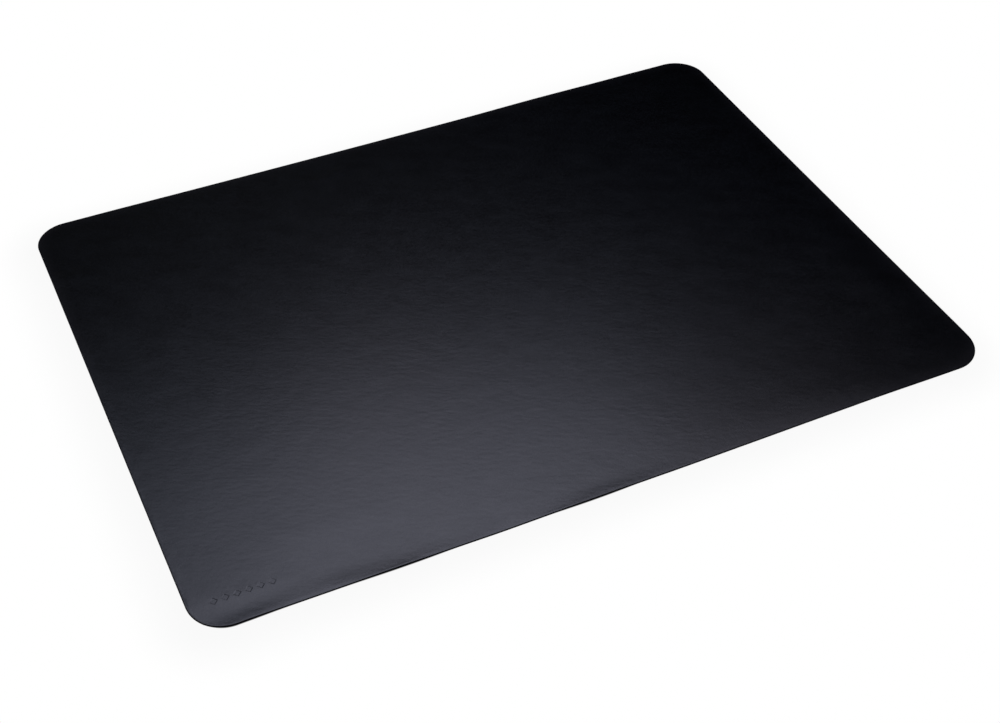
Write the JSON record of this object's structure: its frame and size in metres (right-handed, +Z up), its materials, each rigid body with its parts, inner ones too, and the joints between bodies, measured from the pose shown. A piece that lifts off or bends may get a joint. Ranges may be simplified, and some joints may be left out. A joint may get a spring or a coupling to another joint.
{
  "type": "desk mat",
  "caption": "Thin flat leather desk mat with rounded corners, a suede underside, a painted cut edge and a small pressed ornament near one corner.",
  "frame": {"origin": "middle of the underside, on the desk", "axes": "+X along the long front edge to the right, +Y away from the user, +Z up"},
  "size_m": [0.6, 0.44, 0.0015],
  "materials": {
    "leather": "black leather with a fine soft grain and a low satin sheen",
    "glue": "thin pale contact adhesive, seen only where the layers are parted",
    "bonded_fibre": "pale brown bonded leather fibre, uncoated",
    "suede": "black microfibre suede with a short nap",
    "edge_paint": "flexible black edge paint, satin"
  },
  "bodies": {
    "root": {"leather_face": "leather", "upper_glue_film": "glue", "stiffener_sheet": "bonded_fibre", "lower_glue_film": "glue", "suede_backing": "suede", "edge_coat": "edge_paint"}
  },
  "joints": []
}
